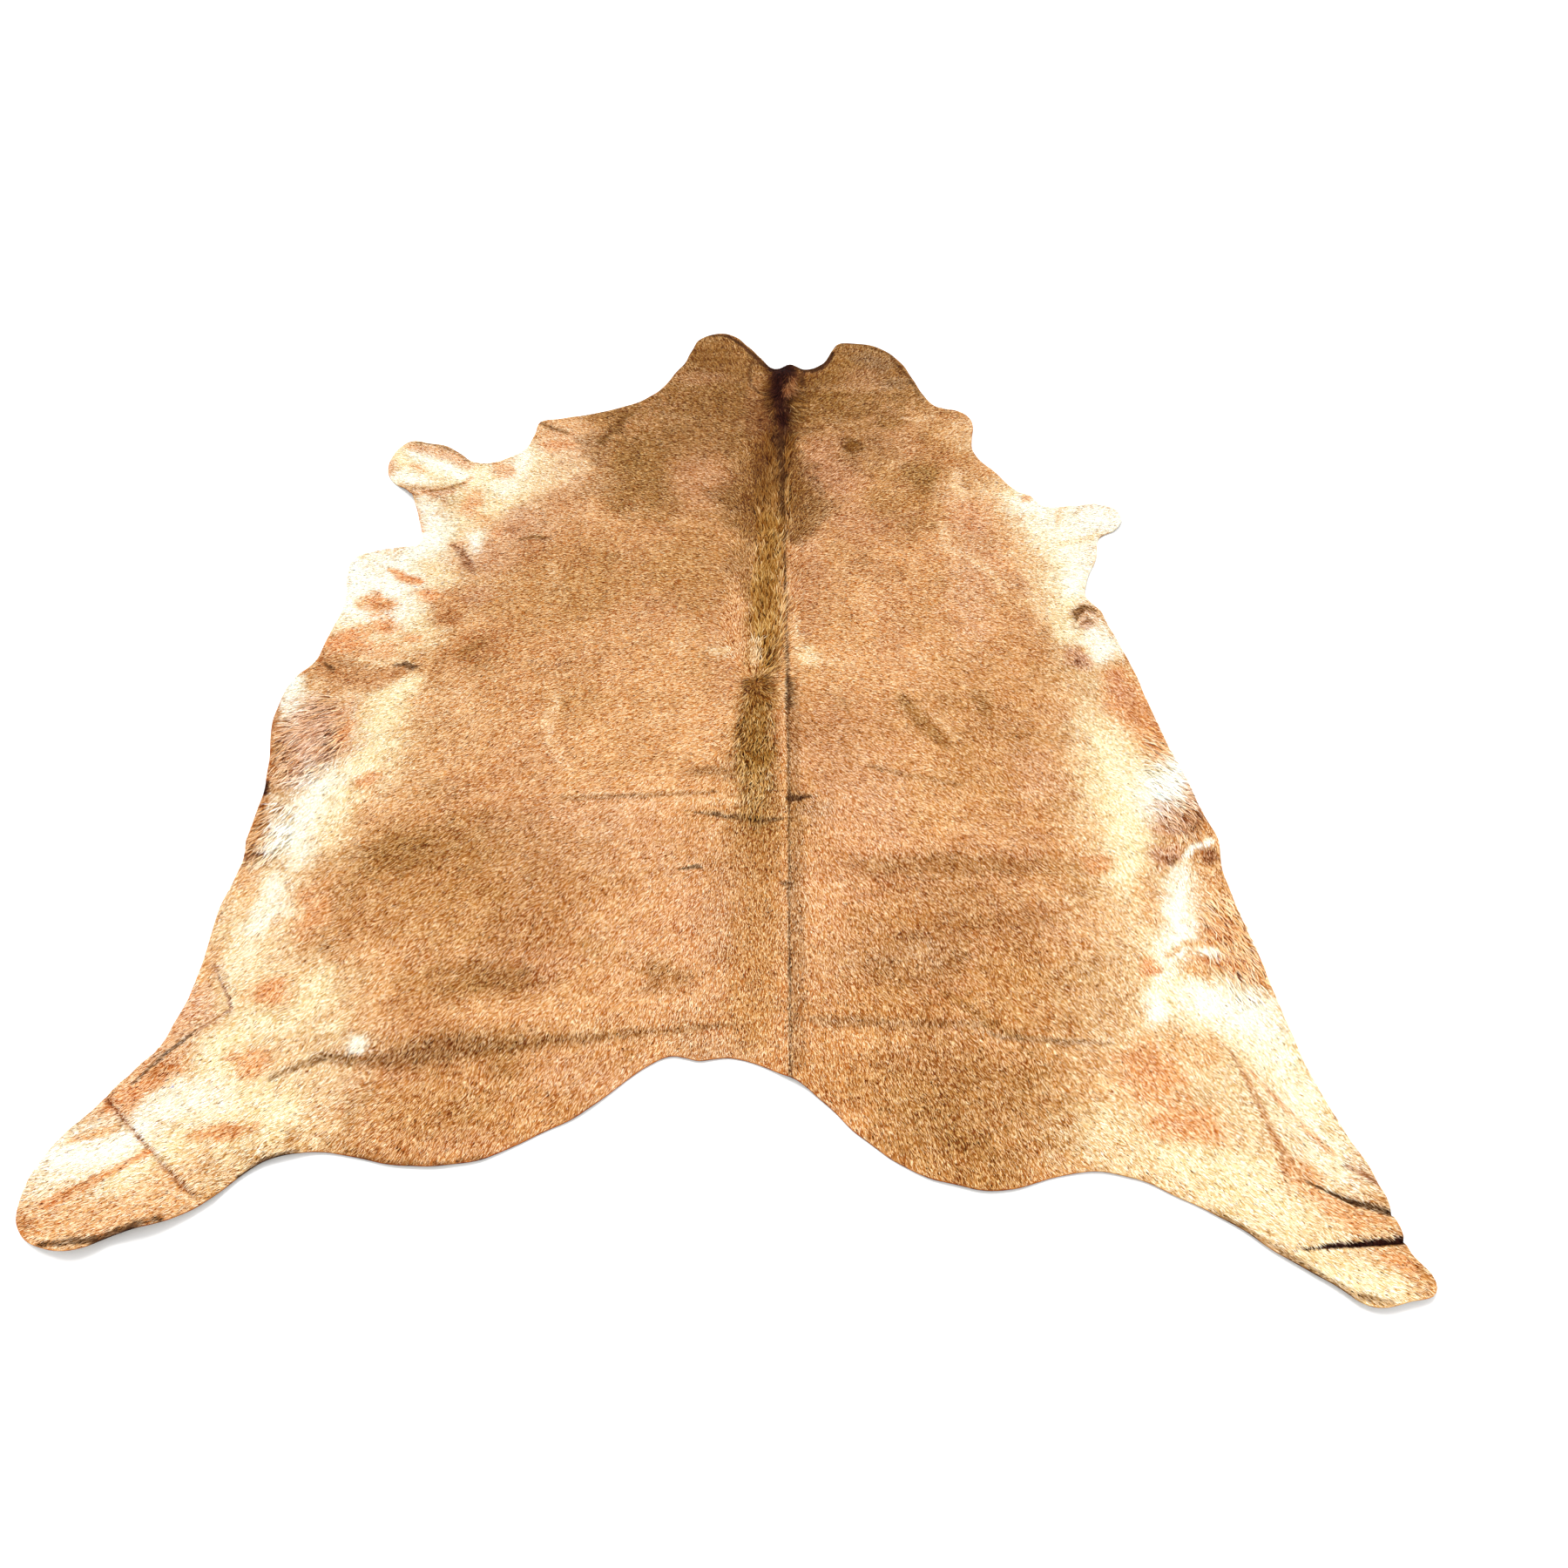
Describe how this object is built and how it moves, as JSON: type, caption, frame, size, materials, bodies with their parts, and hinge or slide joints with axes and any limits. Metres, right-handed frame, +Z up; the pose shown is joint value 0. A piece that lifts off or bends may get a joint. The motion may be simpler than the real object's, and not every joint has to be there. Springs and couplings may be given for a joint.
{
  "type": "cowhide rug",
  "caption": "Whole cattle hide laid out flat with the hair side up, one leather sheet with neck, legs, belly edges and low folds.",
  "frame": {"origin": "on the floor, under the middle of the hide's box", "axes": "+Y from the hind legs towards the neck, +Z up through the hair side, +X to the right seen from above with the neck away"},
  "size_m": [2.0054, 2.455, 0.0217],
  "materials": {
    "coat": "short caramel hair lying flat, cream at the belly edges and legs",
    "flesh_side": "matt pale suede, the back of the leather"
  },
  "bodies": {
    "root": {"hide": "coat"}
  },
  "joints": []
}
